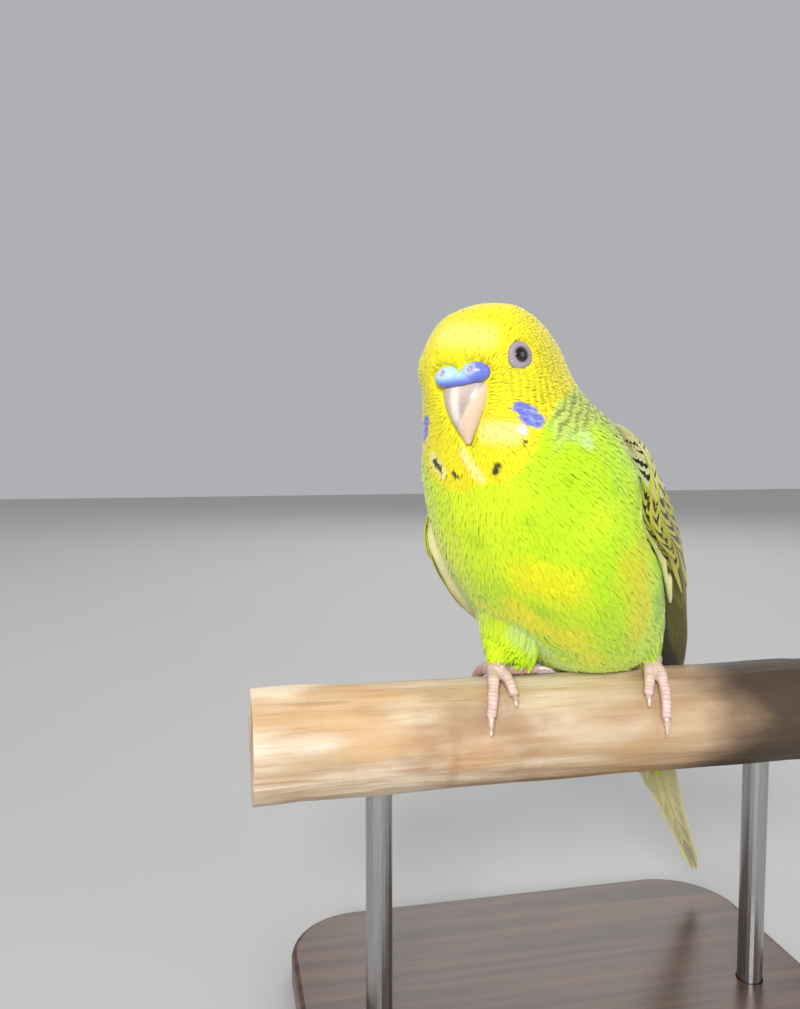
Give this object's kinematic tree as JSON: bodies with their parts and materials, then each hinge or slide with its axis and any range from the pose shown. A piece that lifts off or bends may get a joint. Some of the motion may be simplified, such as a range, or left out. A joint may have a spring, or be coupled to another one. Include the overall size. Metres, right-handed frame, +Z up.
{
  "type": "budgerigar model on display stand",
  "caption": "Life-size still model of a perched budgerigar gripping a cut length of branch, held on two short rods over a flat display base.",
  "frame": {"origin": "middle of the stand's underside", "axes": "+X along the branch, -Y the side the bird looks out over, +Z up"},
  "size_m": [0.15, 0.092, 0.1701],
  "materials": {
    "plumage_mask": "soft short yellow feathers of the head and throat",
    "plumage_body": "soft lime green body feathers with yellow patches",
    "plumage_wing": "pale yellow flight feathers and coverts barred in black",
    "plumage_tail": "pale yellow and grey-white tail feathers",
    "cere": "smooth waxy blue skin",
    "bill_horn": "satin pale horn",
    "eye": "dark wet eye",
    "foot_skin": "scaly pinkish grey skin",
    "claw_horn": "satin grey-brown horn",
    "branch_wood": "barked-off pale branch with brown streaks",
    "base_wood": "satin dark hardwood",
    "rod_steel": "brushed round rod"
  },
  "bodies": {
    "root": {"head": "plumage_mask", "neck": "plumage_mask", "torso": "plumage_body", "thigh_left": "plumage_body", "thigh_right": "plumage_body", "wing_left": "plumage_wing", "wing_right": "plumage_wing", "tail": "plumage_tail", "cere": "cere", "bill_upper": "bill_horn", "bill_lower": "bill_horn", "eye_left": "eye", "foot_left": "foot_skin", "stand_rod_left": "rod_steel", "claw_left_1": "claw_horn", "claw_left_2": "claw_horn", "claw_left_3": "claw_horn", "claw_left_4": "claw_horn", "eye_right": "eye", "foot_right": "foot_skin", "stand_rod_right": "rod_steel", "claw_right_1": "claw_horn", "claw_right_2": "claw_horn", "claw_right_3": "claw_horn", "claw_right_4": "claw_horn", "perch": "branch_wood", "stand_base": "base_wood"}
  },
  "joints": []
}
